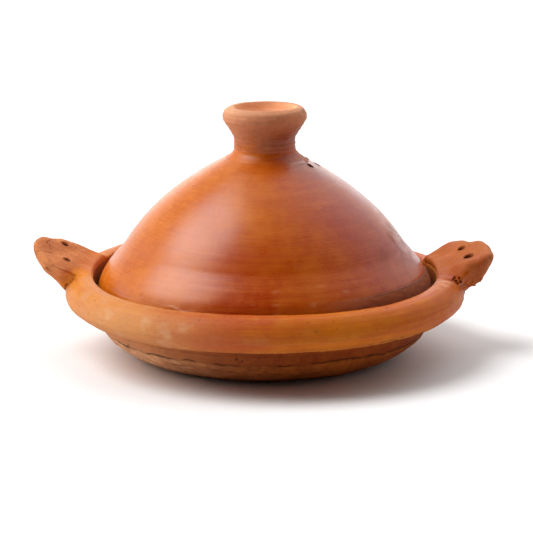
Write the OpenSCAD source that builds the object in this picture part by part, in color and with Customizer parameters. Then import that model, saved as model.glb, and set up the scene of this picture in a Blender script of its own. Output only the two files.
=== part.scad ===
// Tagine pot: a shallow earthenware dish with a rolled rim and two pierced lugs,
// and a tall domed lid with a hollow knob. Each clay part that the potter makes
// and lutes on is a solid of its own. Millimetres, +Z up, origin on the axis at the foot.

/* [Dish] */
// Outside diameter over the rolled rim
rim_d = 280.6; // [240:1:360]
// Height of the rolled rim's top above the foot
dish_h = 56.3; // [48:0.1:90]
// Width of the curved lower wall, from the flat foot out to the upright wall
foot_inset = 33; // [20:0.5:44]
// Thickness of the dish's floor
floor_t = 9; // [6:0.5:12]
// Thickness of the dish's wall
bowl_wall = 9; // [6:0.5:11]
// Height at which the curved lower wall becomes upright
knuckle_z = 26; // [18:0.5:32]

/* [Rolled rim] */
// Radial width of the roll, from the seat's wall to its outermost line
roll_w = 19.3; // [15:0.1:30]
// Height of the roll, from its lower edge to its top
roll_h = 24.3; // [18:0.1:30]
// Height of the roll's widest line above its lower edge
roll_belly_h = 9; // [6:0.1:12]
// How far the lower edge stands in from the widest line
roll_undercut = 8.9; // [4:0.1:10]
// Depth of the lid's seat below the roll's top
seat_depth = 14; // [10:0.1:20]
// Width of the ledge that the lid stands on
ledge_w = 14; // [11:0.1:20]

/* [Lugs] */
// How far a lug stands out past the rolled rim
lug_reach = 21; // [14:0.5:30]
// Width of a lug across its root
lug_w = 64; // [44:1:80]
// Thickness of a lug at its tip
lug_tip_t = 12; // [9:0.5:16]
// Height of a lug's tip centre above the rim's top
lug_rise = 10; // [4:0.5:20]
// How much higher a lug's back edge is than its front edge
lug_twist = 9; // [0:0.5:14]
// Angle by which each lug is set back from the side of the dish
lug_set_back = 6; // [0:0.5:12]
// Radius of the firing holes poked into the lugs
poke_r = 2.9; // [1.5:0.1:4]
// Depth of the firing holes
poke_depth = 8; // [5:0.5:10]
// The left lug's firing holes
left_pokes = [[4, 19], [-1, -10]]; // each [distance past the rim, place across the lug]
// The right lug's firing holes
right_pokes = [[1, 9], [4, -9]]; // each [distance past the rim, place across the lug]

/* [Lid] */
// Height of the lid's crown above its lower edge
lid_h = 98; // [80:1:140]
// Thickness of the lid's wall
lid_wall = 8; // [6:0.5:10]
// Radial gap between the lid and the seat's wall
lid_gap = 3.6; // [2:0.1:6]
// Gap under the lid's lower edge
seat_clearance = 0.3; // [0.2:0.05:0.6]
// Height above the lower edge where the flank turns into the shoulder
flank_h = 36.6; // [28:0.1:44]
// How far the flank has leaned in at that height
flank_inset = 20.1; // [14:0.1:28]
// Lean of the flank there, from the vertical
flank_lean = 32.2; // [25:0.1:40]
// Lean of the crown where the knob stands, from the vertical
crown_lean = 61.5; // [50:0.1:70]
// Width of the flat crown that shows round the knob's neck under the luting
crown_margin = 2.6; // [1:0.1:6]
// Radius of a steam vent
vent_r = 2.4; // [1:0.1:4]
// The steam vents
vents = [[-20.6, 4.7], [5, 8]]; // each [direction from +X, distance out past the luting]

/* [Knob] */
// Height of the knob above the crown
knob_h = 34.4; // [28:0.1:50]
// Radius of the knob's neck
neck_r = 21.4; // [18:0.1:22]
// Height of the straight part of the neck
neck_h = 12.4; // [9:0.1:16]
// Radius of the knob at its lip
lip_r = 29.5; // [27:0.1:36]
// Radius of the rounded lip
lip_round = 6; // [4:0.1:7]
// Width of the lip, from its outside to the cup's mouth
lip_w = 8.1; // [7.5:0.1:12]
// Radius of the cup's floor
cup_floor_r = 9; // [6:0.5:12]
// Thickness of clay left under the cup
cup_floor_t = 21; // [14:0.5:23]
// Height of the luting coil round the neck's foot
luting_h = 5.4; // [3:0.1:8]
// Width of the luting coil on the crown's slope
luting_w = 5; // [3:0.1:8]

/* [Hidden] */
$fn = 96;

curve_steps = 14;
edge_round = 2.6;

burnished = "#c65f22";
raw_clay = "#c8744a";

// Radii and heights that several pieces share.
rim_r = rim_d / 2;
seat_r = rim_r - roll_w;
bowl_in_r = seat_r - ledge_w;
bowl_r = bowl_in_r + bowl_wall;
foot_r = bowl_r - foot_inset;
ledge_z = dish_h - seat_depth;
roll_low_z = dish_h - roll_h;
belly_z = roll_low_z + roll_belly_h;
roll_foot_r = rim_r - roll_undercut;
lid_r = seat_r - lid_gap;
lid_z = ledge_z + seat_clearance;
crown_z = lid_z + lid_h;
flank_r = lid_r - flank_inset;
flank_z = lid_z + flank_h;
crown_r = neck_r + crown_margin;
cup_r = lip_r - lip_w;
luting_r = crown_r + luting_w;
luting_z = crown_z - luting_w / tan(crown_lean);
// How far the roll's and the cup's inner edges lie below their tops
edge_drop = 1.8;
// How far the roll's crest lies outside the seat's wall
crest_inset = 6;
// How much higher the roll's underside is where it meets the bowl
root_rise = 1.5;
// Roundness of a lug's root
root_ball = 4.5;
// Where the knob's lip starts round its arc, in degrees
lip_turn = -32;

// Points of a cubic curve from a to d with the handles b and c, without its first point.
function curve(a, b, c, d, n = curve_steps) =
    [for (i = [1:n]) let (t = i / n, s = 1 - t)
        s * s * s * a + 3 * s * s * t * b + 3 * s * t * t * c + t * t * t * d];

// Points of an arc about c from angle a0 to a1.
function arc(c, r, a0, a1, n = curve_steps) =
    [for (i = [0:n]) let (a = a0 + (a1 - a0) * i / n) c + r * [cos(a), sin(a)]];

// The direction of a wall that leans in by this angle from the vertical, going up.
function lean(angle) = [-sin(angle), cos(angle)];

// The line moved inwards by t, square to its own direction at each point.
function inset(line, t) =
    [for (i = [0:len(line) - 1])
        let (a = line[max(i - 1, 0)], b = line[min(i + 1, len(line) - 1)], d = (b - a) / norm(b - a))
        line[i] + t * [-d[1], d[0]]];

function reversed(line) = [for (i = [len(line) - 1:-1:0]) line[i]];

// Only the points of a line that lie further than r from the axis.
function outside_of(line, r) = [for (p = line) if (p[0] > r) p];

// ---- Dish ----

// The thrown dish: flat foot, curved lower wall and an upright wall whose top is the lid's ledge.
module dish_bowl() {
    outer_curve = curve([foot_r, 0], [foot_r + 0.53 * foot_inset, 0.17 * knuckle_z],
        [bowl_r, 0.58 * knuckle_z], [bowl_r, knuckle_z]);
    inner_z = knuckle_z + floor_t / 2;
    inner_foot_r = min(foot_r, bowl_in_r) - 1;
    inner_span = bowl_in_r - inner_foot_r;
    inner_curve = curve([inner_foot_r, floor_t], [inner_foot_r + 0.5 * inner_span, floor_t + 1.5],
        [bowl_in_r, inner_z - 10], [bowl_in_r, inner_z]);
    color(burnished)
        rotate_extrude()
            polygon(concat([[0, 0], [foot_r, 0]], outer_curve,
                [[bowl_r, ledge_z], [bowl_in_r, ledge_z]],
                reversed(inner_curve), [[inner_foot_r, floor_t], [0, floor_t]]));
}

// Half section of the roll: an oval with a step that carries the lid's ledge out to the seat's wall.
function roll_section() =
    let (foot = [roll_foot_r, roll_low_z], belly = [rim_r, belly_z],
        crest = [seat_r + crest_inset, dish_h], edge = [seat_r, dish_h - edge_drop])
    concat([[bowl_r, roll_low_z + root_rise], foot],
        curve(foot, foot + [4, 3], belly - [0.6, 4], belly),
        curve(belly, belly + [0, 8.4], crest + [7.4, 0], crest),
        curve(crest, crest - [2.4, 0], edge + [0.2, 1.2], edge, 6),
        [[seat_r, ledge_z], [bowl_r, ledge_z]]);

module rim_roll() {
    color(burnished) rotate_extrude() polygon(roll_section());
}

// ---- Lugs ----

// One ball of a lug's hull, past the rim by u, across the lug by v, with its top at z.
// The lug leans towards its front, so the ball's height follows v.
module lug_ball(u, v, top, r) {
    translate([rim_r + u, v, top - r + lug_lean(v)])
        sphere(r = r, $fn = 28);
}

function lug_lean(v) = lug_twist * v / lug_w;

// Height of a lug's top along its middle, past the rim by u.
function lug_top(u) = dish_h + lug_rise * (0.7 + u / lug_reach / 2);

// A firing hole, poked straight down into the lug's top.
module poke(place) {
    u = place[0];
    v = place[1];
    translate([rim_r + u, v, lug_top(u) + lug_lean(v) - poke_depth])
        cylinder(h = 3 * poke_depth, r = poke_r);
}

// A lug that points along +X: a thick tongue that rises outwards, with its root luted over the rim.
module lug(pokes) {
    tip_ball = lug_tip_t / 2;
    root_v = lug_w / 2 - root_ball;
    tip_top = dish_h + lug_rise + tip_ball;
    in_dish = seat_r - ledge_w;
    difference() {
        hull() {
            for (side = [-1, 1]) {
                lug_ball(-9, side * root_v, dish_h + 2.4, root_ball);
                lug_ball(-4, side * (root_v - 2), belly_z + 10.5, root_ball);
                lug_ball(6, side * (root_v - 4), lug_top(6), root_ball);
                lug_ball(lug_reach - 13, side * 0.52 * root_v, tip_top - 1, tip_ball);
            }
            lug_ball(lug_reach - tip_ball, 0, tip_top - 1.5, tip_ball);
        }
        rotate_extrude()
            polygon(concat(roll_section(), [[in_dish, ledge_z], [in_dish, roll_low_z]]));
        for (place = pokes) poke(place);
    }
}

module left_handle() {
    color(raw_clay) rotate([0, 0, 180 - lug_set_back]) mirror([0, 1, 0]) lug(left_pokes);
}

module right_handle() {
    color(raw_clay) rotate([0, 0, lug_set_back]) lug(right_pokes);
}

// ---- Lid ----

// The lid's outside, from its lower edge to the crown.
// An upright edge comes first, then a leaning flank, then a rounded shoulder.
function lid_outline() =
    let (edge = [lid_r, lid_z + edge_round], flank = [flank_r, flank_z], brow = [luting_r, luting_z],
        rise = norm(flank - edge), span = norm(brow - flank))
    concat([edge],
        curve(edge, edge + [0, 0.37 * rise], flank - 0.23 * rise * lean(flank_lean), flank),
        curve(flank, flank + 0.44 * span * lean(flank_lean),
            brow - 0.12 * span * lean(crown_lean), brow, 2 * curve_steps),
        [[crown_r, crown_z]]);

module lid_cone() {
    outline = lid_outline();
    inner = outside_of(inset(outline, lid_wall), crown_r);
    inner_z = inner[len(inner) - 1][1];
    inner_foot = lid_r - lid_wall;
    color(burnished) difference() {
        rotate_extrude()
            polygon(concat([[inner_foot + edge_round, lid_z], [lid_r - edge_round, lid_z]],
                outline, [[0, crown_z], [0, inner_z]], reversed(inner)));
        for (vent = vents) rotate([0, 0, vent[0]]) steam_vent(luting_r + vent[1]);
    }
}

// A steam vent along +X at this distance from the axis: a hole through the wall, square to the slope.
module steam_vent(dist) {
    vent_z = crown_z - (dist - crown_r) / tan(crown_lean);
    translate([dist, 0, vent_z]) rotate([0, 90 - crown_lean, 0])
        translate([0, 0, -2 * lid_wall]) cylinder(h = 3 * lid_wall, r = vent_r);
}

// The coil of soft clay that is worked into the corner between the neck and the crown.
module neck_luting() {
    foot = [luting_r, luting_z];
    top = [neck_r, crown_z + luting_h];
    color(raw_clay)
        rotate_extrude()
            polygon(concat([[neck_r, crown_z], [crown_r, crown_z], foot],
                curve(foot, foot + 0.6 * luting_w * lean(crown_lean), top - [0, 0.55 * luting_h], top)));
}

// The thrown knob: a solid neck that flares into a cup with a round lip.
module lid_knob() {
    lip_c = [lip_r - lip_round, crown_z + knob_h - lip_round];
    neck_top = [neck_r, crown_z + neck_h];
    lip_start = lip_c + lip_round * [cos(lip_turn), sin(lip_turn)];
    mouth = [cup_r, crown_z + knob_h - edge_drop];
    cup_low = [cup_floor_r, crown_z + cup_floor_t];
    color(raw_clay)
        rotate_extrude()
            polygon(concat([[0, crown_z], [neck_r, crown_z], neck_top],
                curve(neck_top, neck_top + [0.4, 2.2], lip_start - [1.6, 2.6], lip_start),
                arc(lip_c, lip_round, lip_turn + 2, 88),
                curve(lip_c + [0, lip_round], lip_c + [-1.2, lip_round], mouth + [0.2, 1.2], mouth, 6),
                curve(mouth, mouth - [1.4, 4], cup_low + [6, 1], cup_low),
                [[0, crown_z + cup_floor_t]]));
}

dish_bowl();
rim_roll();
left_handle();
right_handle();
lid_cone();
neck_luting();
lid_knob();
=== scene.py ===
"""The tagine pot's looks: thrown and hand-modelled clay, burnished on the lid and rim, raw elsewhere."""
import math

import bmesh
import bpy
import numpy as np
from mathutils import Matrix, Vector


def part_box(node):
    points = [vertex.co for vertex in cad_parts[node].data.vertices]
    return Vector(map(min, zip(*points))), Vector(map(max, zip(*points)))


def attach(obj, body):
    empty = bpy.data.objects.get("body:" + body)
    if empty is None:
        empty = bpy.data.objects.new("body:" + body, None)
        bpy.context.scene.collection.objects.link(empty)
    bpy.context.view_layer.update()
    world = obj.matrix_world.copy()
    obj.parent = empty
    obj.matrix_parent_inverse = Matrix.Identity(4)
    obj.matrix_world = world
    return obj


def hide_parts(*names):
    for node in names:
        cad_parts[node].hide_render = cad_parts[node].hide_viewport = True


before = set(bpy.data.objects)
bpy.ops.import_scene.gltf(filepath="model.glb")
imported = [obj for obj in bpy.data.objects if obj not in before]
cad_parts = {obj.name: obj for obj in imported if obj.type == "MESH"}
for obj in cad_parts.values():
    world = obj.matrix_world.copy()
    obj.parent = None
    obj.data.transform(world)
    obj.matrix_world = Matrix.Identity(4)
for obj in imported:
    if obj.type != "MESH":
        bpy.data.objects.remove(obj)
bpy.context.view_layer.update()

MM = 0.001

# ---- Sizes, in millimetres, from the frame ----


def top_of(node):
    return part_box(node)[1].z / MM


def bottom_of(node):
    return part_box(node)[0].z / MM


def radius_of(node):
    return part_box(node)[1].x / MM


RIM_R = radius_of("rim_roll")
RIM_TOP = top_of("rim_roll")
ROLL_LOW = bottom_of("rim_roll")
BOWL_R = radius_of("dish_bowl")
LEDGE_Z = top_of("dish_bowl")
LID_R = radius_of("lid_cone")
LID_LOW = bottom_of("lid_cone")
CROWN_Z = top_of("lid_cone")
LIP_R = radius_of("lid_knob")
KNOB_TOP = top_of("lid_knob")
LUTING_R = radius_of("neck_luting")
LUTING_LOW = bottom_of("neck_luting")
LUTING_TOP = top_of("neck_luting")

# Sizes that no box gives, with the values of the CAD source. Leans are in degrees from upright.
SEAT_R = 121.0
BOWL_IN_R = 107.0
FOOT_R = 83.0
FLOOR_T = 9.0
KNUCKLE_Z = 26.0
BELLY_Z = ROLL_LOW + 9
ROLL_UNDERCUT = 8.9
LID_WALL = 8.0
FLANK_IN, FLANK_H, FLANK_LEAN = 20.1, 36.6, 32.2
CROWN_LEAN = 61.5
CROWN_R = 24.0
NECK_R, NECK_H = 21.4, 12.4
VENT_R = 2.4
VENTS = [(-20.6, LUTING_R + 4.7), (5.0, LUTING_R + 8.0)]  # direction in degrees, distance from the axis

# Directions round the pot, in degrees from +X, which is the right of the picture. -90 faces the camera.
BACK_LEFT, BACK, BACK_RIGHT = 140, 90, 45

# ---- Noise and small maths ----


def lattice(i, j, k, seed):
    """A repeatable random number from 0 to 1 for each whole-number lattice point."""
    h = i.astype(np.int64) * 374761393 + j.astype(np.int64) * 668265263 + k.astype(np.int64) * 1103515245
    h = (h + seed * 1274126177) & 0xFFFFFFFF
    h = ((h ^ (h >> 13)) * 1274126177) & 0xFFFFFFFF
    h = ((h ^ (h >> 15)) * 2246822519) & 0xFFFFFFFF
    return ((h ^ (h >> 16)) & 0xFFFFFF) / float(0xFFFFFF)


def noise(x, y, z, seed=0):
    """Smooth value noise from -1 to 1 with a period of about one unit."""
    x, y, z = np.broadcast_arrays(x, y, z)
    xi, yi, zi = np.floor(x), np.floor(y), np.floor(z)
    fx, fy, fz = x - xi, y - yi, z - zi
    sx, sy, sz = (f * f * f * (f * (f * 6 - 15) + 10) for f in (fx, fy, fz))
    total = np.zeros(x.shape)
    for dx in (0, 1):
        for dy in (0, 1):
            for dz in (0, 1):
                weight = (sx if dx else 1 - sx) * (sy if dy else 1 - sy) * (sz if dz else 1 - sz)
                total += weight * lattice(xi + dx, yi + dy, zi + dz, seed)
    return total * 2 - 1


def fractal(x, y, z, octaves=4, seed=0):
    """Noise with finer noise on top of it, about -1 to 1."""
    total, size, weight = 0.0, 1.0, 1.0
    for octave in range(octaves):
        total = total + weight * noise(x * size, y * size, z * size, seed + 17 * octave)
        size, weight = size * 2.03, weight * 0.5
    return total / 1.8


def step(x, low, high):
    """0 below low, 1 above high, smooth between."""
    t = np.clip((x - low) / (high - low), 0, 1)
    return t * t * (3 - 2 * t)


def hump(x, centre, width):
    """1 at centre, fading away over about width on both sides."""
    return np.exp(-(((x - centre) / width) ** 2))


def turn(angle, centre):
    """The signed angle in degrees from centre to angle."""
    return (angle - centre + 180) % 360 - 180


def beside(angle, centre, width):
    """1 at the angle centre, fading away over about width degrees on both sides."""
    return hump(turn(angle, centre), 0, width)


def around(angle):
    """The point on a unit circle at an angle, for noise that runs round the pot without a seam."""
    return np.cos(np.radians(angle)), np.sin(np.radians(angle))


def smooth_max(a, b, k):
    """The larger of a and b, rounded over where they are within k of each other."""
    h = np.maximum(k - np.abs(a - b), 0) / k
    return np.maximum(a, b) + h * h * k / 4


def smooth_min(a, b, k):
    """The smaller of a and b, rounded over in the same way."""
    return -smooth_max(-a, -b, k)


# ---- Outlines ----


def curve(a, b, c, d, n=24):
    """Points along a Bezier curve from a to d, without a itself."""
    t = np.linspace(0, 1, n + 1)[1:, None]
    s = 1 - t
    a, b, c, d = (np.array(p, float) for p in (a, b, c, d))
    return s**3 * a + 3 * s * s * t * b + 3 * s * t * t * c + t**3 * d


def path(*pieces):
    """One line of points from points and curves."""
    return np.vstack([np.array(p, float).reshape(-1, 2) for p in pieces])


def lean(angle):
    """The direction of a slope that leans inwards from upright by an angle."""
    return np.array([-math.sin(math.radians(angle)), math.cos(math.radians(angle))])


def resample(line, spacing):
    """The line again, with points about spacing apart."""
    line = np.array(line, float)
    lengths = np.r_[0, np.cumsum(np.hypot(*np.diff(line, axis=0).T))]
    count = max(2, int(round(lengths[-1] / spacing)) + 1)
    at = np.linspace(0, lengths[-1], count)
    return np.c_[np.interp(at, lengths, line[:, 0]), np.interp(at, lengths, line[:, 1])]


def chain(*stretches):
    """Joins stretches that meet end to end, each given as (line, spacing)."""
    rows = [resample(stretches[0][0], stretches[0][1])]
    for line, spacing in stretches[1:]:
        rows.append(resample(line, spacing)[1:])
    return np.vstack(rows)


def line_normals(line, closed):
    """Unit normals along a line, to the right of its direction."""
    before = np.roll(line, 1, 0) if closed else np.vstack([line[:1], line[:-1]])
    after = np.roll(line, -1, 0) if closed else np.vstack([line[1:], line[-1:]])
    d = after - before
    d /= np.maximum(np.hypot(d[:, 0], d[:, 1]), 1e-9)[:, None]
    return np.c_[d[:, 1], -d[:, 0]]


# ---- Meshes ----


def painted_light_warmth(points):
    """Painted light: brighter and yellower slip on the left as it stands, where the light falls, uneven at
    its edges.
    """
    x, y, z = points.T
    angle = np.degrees(np.arctan2(y, x))
    uneven = 30 * noise(x / 60, y / 60, z / 40, 61)
    return step(np.abs(turn(angle + uneven, -168)), 125, 20)


def mesh_piece(name, points, faces, body, nodes, marks):
    """A smooth mesh piece from points in millimetres. Its material reads the marks, numbers per point."""
    # Every piece carries the painted light of the lit left as a mark.
    marks = dict(marks, painted_light_warm=painted_light_warmth(points))
    mesh = bpy.data.meshes.new(name)
    mesh.from_pydata((points * MM).tolist(), [], faces)
    mesh.validate()
    mesh.polygons.foreach_set("use_smooth", np.ones(len(mesh.polygons), bool))
    for mark, values in marks.items():
        attribute = mesh.attributes.new(mark, "FLOAT", "POINT")
        attribute.data.foreach_set("value", np.ascontiguousarray(values, np.float32).ravel())
    piece = bpy.data.objects.new(name, mesh)
    bpy.context.scene.collection.objects.link(piece)
    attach(piece, body)
    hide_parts(*nodes)
    return piece


def turned_faces(rows, segments, closed):
    """Quads between the rows of a turned surface, with a fan where it starts and ends on the axis."""
    index = np.arange(rows * segments).reshape(rows, segments)
    following = np.roll(index, -1, 1)
    faces = []
    for row in range(rows if closed else rows - 1):
        a, b = index[row], index[(row + 1) % rows]
        an, bn = following[row], following[(row + 1) % rows]
        if not closed and row == 0:
            faces += np.c_[np.full(segments, a[0]), bn, b].tolist()
        elif not closed and row == rows - 2:
            faces += np.c_[a, an, np.full(segments, b[0])].tolist()
        else:
            faces += np.c_[a, an, bn, b].tolist()
    return faces


def lathe(line, segments, shape):
    """Turns a line of (radius, height) round the axis: one that starts and ends there, or a closed one.

    shape(angle, x, y, z, r) gives how far each point moves along its normal, the marks that its material
    reads, and how far the point shifts after that.
    """
    closed = line[0][0] > 1e-6
    normals = line_normals(line, closed)
    angle = np.linspace(0, 360, segments, endpoint=False)[None, :]
    c, s = around(angle)
    r, z = line[:, 0][:, None], line[:, 1][:, None] + 0 * angle
    x, y = r * c, r * s
    move, marks, shift = shape(angle + 0 * r, x, y, z, r + 0 * angle)
    nr, nz = normals[:, 0][:, None], normals[:, 1][:, None]
    points = np.stack([(r + move * nr) * c, (r + move * nr) * s, z + move * nz], -1) + shift
    points = points.reshape(-1, 3)
    if not closed:
        points[0, :2] = 0
        points[-segments, :2] = 0
    marks = {k: (v + 0 * x).reshape(-1) for k, v in marks.items()}
    return points, turned_faces(len(line), segments, closed), marks


def edge_crossings(field):
    """Grid edges where a field changes sign: each axis's edges, crossing points, and which start inside."""
    inside = field < 0
    crossings = []
    for axis in range(3):
        a = [slice(None)] * 3
        b = [slice(None)] * 3
        a[axis], b[axis] = slice(0, -1), slice(1, None)
        i, j, k = np.nonzero(inside[tuple(a)] != inside[tuple(b)])
        start, end = field[tuple(a)][i, j, k], field[tuple(b)][i, j, k]
        edge = np.stack([i, j, k], 1)
        where = edge.astype(float)
        where[:, axis] += start / (start - end)
        crossings.append((axis, edge, where, start < 0))
    return crossings


def shifted(edge, first, first_step, second, second_step):
    """The cells one step away from edges, along two axes."""
    cell = edge.copy()
    cell[:, first] += first_step
    cell[:, second] += second_step
    return cell


def in_grid(cell, cells):
    return np.all((cell >= 0) & (cell < np.array(cells)), 1)


def sum_crossings(crossings, cells):
    """For each cell, the sum of the crossing points on its edges, and how many there are."""
    total, count = np.zeros(cells + (3,)), np.zeros(cells)
    for axis, edge, where, _ in crossings:
        first, second = (n for n in range(3) if n != axis)
        for first_step in (0, -1):
            for second_step in (0, -1):
                cell = shifted(edge, first, first_step, second, second_step)
                ok = in_grid(cell, cells)
                at = tuple(cell[ok].T)
                np.add.at(total, at, where[ok])
                np.add.at(count, at, 1)
    return total, count


def quads_of(crossings, number):
    """A quad round each crossed edge, between the points of the four cells that share it."""
    faces = []
    for axis, edge, _, starts_inside in crossings:
        first, second = ((1, 2), (2, 0), (0, 1))[axis]
        ring = [shifted(edge, first, a, second, b) for a, b in ((0, 0), (-1, 0), (-1, -1), (0, -1))]
        ok = np.all([in_grid(cell, number.shape) for cell in ring], 0)
        quad = np.stack([number[tuple(cell[ok].T)] for cell in ring], 1)
        flip = ~starts_inside[ok]
        quad[flip] = quad[flip][:, ::-1]
        faces.append(quad)
    return np.vstack(faces)


def surface_of(field, low, spacing):
    """The surface where a field on a grid is zero, as points and quads (naive surface nets)."""
    cells = tuple(n - 1 for n in field.shape)
    crossings = edge_crossings(field)
    total, count = sum_crossings(crossings, cells)
    used = count > 0
    number = np.full(cells, -1)
    number[used] = np.arange(used.sum())
    points = total[used] / count[used][:, None] * spacing + np.array(low)
    return points, quads_of(crossings, number)


# ---- Materials ----


class Graph:
    """Short calls for building a tree of nodes."""

    def __init__(self, tree):
        self.tree = tree

    def put(self, socket, value):
        if isinstance(value, bpy.types.NodeSocket):
            self.tree.links.new(value, socket)
        else:
            socket.default_value = value

    def node(self, kind, inputs=(), **settings):
        made = self.tree.nodes.new("ShaderNode" + kind)
        for key, value in settings.items():
            setattr(made, key, value)
        for key, value in dict(inputs).items():
            self.put(made.inputs[key], value)
        return made

    def maths(self, operation, a, b=0.0, c=0.0, clamp=False):
        made = self.node("Math", {0: a, 1: b, 2: c}, operation=operation, use_clamp=clamp)
        return made.outputs[0]

    def mark(self, name):
        return self.node("Attribute", attribute_name=name).outputs["Fac"]

    def ramp(self, value, low, high, to_low=0.0, to_high=1.0):
        made = self.node("MapRange", {"Value": value, "From Min": low, "From Max": high,
                                      "To Min": to_low, "To Max": to_high}, interpolation_type="SMOOTHSTEP")
        return made.outputs[0]

    def mix(self, share, a, b, blend="MIX"):
        made = self.node("Mix", data_type="RGBA", blend_type=blend)
        self.put(made.inputs[0], share)
        self.put(made.inputs[6], a)
        self.put(made.inputs[7], b)
        return made.outputs[2]

    def noise(self, vector, scale, detail=4.0, roughness=0.55, distortion=0.0):
        made = self.node("TexNoise", {"Vector": vector, "Scale": scale, "Detail": detail,
                                      "Roughness": roughness, "Distortion": distortion})
        return made.outputs["Fac"]

    def stretched(self, round_scale, up_scale):
        """Coordinates that run round the axis, so that a noise on them makes streaks round the pot."""
        where = self.node("TexCoord").outputs["Object"]
        parts = self.node("SeparateXYZ", {0: where}).outputs
        x2 = self.maths("MULTIPLY", parts[0], parts[0])
        y2 = self.maths("MULTIPLY", parts[1], parts[1])
        radius = self.maths("MAXIMUM", self.maths("SQRT", self.maths("ADD", x2, y2)), 0.001)
        across = self.maths("MULTIPLY", self.maths("DIVIDE", parts[0], radius), round_scale)
        along = self.maths("MULTIPLY", self.maths("DIVIDE", parts[1], radius), round_scale)
        height = self.maths("MULTIPLY", self.maths("SUBTRACT", parts[2], radius), up_scale)
        return self.node("CombineXYZ", {0: across, 1: along, 2: height}).outputs[0]

    def where(self):
        return self.node("TexCoord").outputs["Object"]


class Surface(Graph):
    """The nodes of a new material."""

    def __init__(self, name):
        self.material = bpy.data.materials.new(name)
        self.material.use_nodes = True
        super().__init__(self.material.node_tree)
        self.tree.nodes.clear()
        self.shader = self.node("BsdfPrincipled")
        self.node("OutputMaterial", {0: self.shader.outputs[0]})


def colour(r, g, b):
    return (r, g, b, 1.0)


PALE = colour(0.70, 0.40, 0.22)
# Painted shade: holes, cracks, creases and seams are darkened towards this share of the bare clay's deep
# colour.
HOLLOW_SHADE_SHARE = 0.16  # how dark the holes and cracks are, beside the deep colour of the bare clay
BARE_ROUGHNESS = 0.84


def clay_noises(g):
    """The noises that a clay's colour, gloss and relief share, from coarse to fine."""
    where = g.where()
    return {
        "patches": g.noise(where, 14.0, 5.0, 0.55, 0.3),
        "here_and_there": g.noise(where, 26.0, 2.0),
        "clouds": g.noise(where, 70.0, 4.0, 0.6),
        "grit": g.noise(where, 330.0, 4.0, 0.65),
        "dust": g.noise(where, 900.0, 3.0, 0.7),
        "bands": g.noise(g.stretched(2.2, 300.0), 1.0, 5.0, 0.6),
        "fine": g.noise(g.stretched(5.0, 1300.0), 1.0, 3.0, 0.6),
        "scratches": g.noise(g.stretched(7.0, 1500.0), 1.0, 2.0, 0.5),
    }


def burnished_tone(g, n, slip, streaks):
    """The slip's colour: patches and streaks between its deep and bright tones, with pale scratches."""
    patches = g.ramp(n["patches"], 0.28, 0.72, -0.05, 0.42)
    share = g.maths("ADD", patches, g.ramp(n["clouds"], 0.3, 0.7, -0.1, 0.1))
    # Painted light: the slip is brighter and yellower on the lit left.
    share = g.maths("MULTIPLY_ADD", g.mark("painted_light_warm"), 0.6, share)
    share = g.maths("ADD", share, g.ramp(n["bands"], 0.3, 0.7, -0.16 * streaks, 0.16 * streaks))
    share = g.maths("ADD", share, g.ramp(n["fine"], 0.3, 0.7, -0.12 * streaks, 0.12 * streaks), clamp=True)
    scratches = g.ramp(n["scratches"], 0.68, 0.78, 0.0, 0.2 * streaks)
    scratches = g.maths("MULTIPLY", scratches, g.ramp(n["here_and_there"], 0.5, 0.62))
    return g.mix(scratches, g.mix(share, *slip), PALE)


def gritty_tone(g, n, raw):
    """The bare clay's colour: clouds and grit between its deep and bright tones, with pale dust."""
    clouds = g.ramp(n["clouds"], 0.3, 0.7, 0.15, 0.55)
    share = g.maths("ADD", clouds, g.ramp(n["grit"], 0.3, 0.7, 0.0, 0.35), clamp=True)
    return g.mix(g.ramp(n["dust"], 0.62, 0.8, 0.0, 0.35), g.mix(share, *raw), PALE)


def clay_relief(g, n, bare, streaks):
    """The finest relief: streaks on the slip, dust and grit mostly on the bare clay."""
    relief = g.maths("MULTIPLY", n["fine"], 0.16 * streaks)
    relief = g.maths("ADD", relief, g.maths("MULTIPLY", n["bands"], 0.22 * streaks))
    relief = g.maths("MULTIPLY_ADD", n["dust"], g.maths("MULTIPLY_ADD", bare, 0.8, 0.08), relief)
    relief = g.maths("MULTIPLY_ADD", n["grit"], g.maths("MULTIPLY_ADD", bare, 1.6, 0.05), relief)
    return g.node("Bump", {"Height": relief, "Strength": 0.4, "Distance": 0.0006}).outputs[0]


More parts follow.
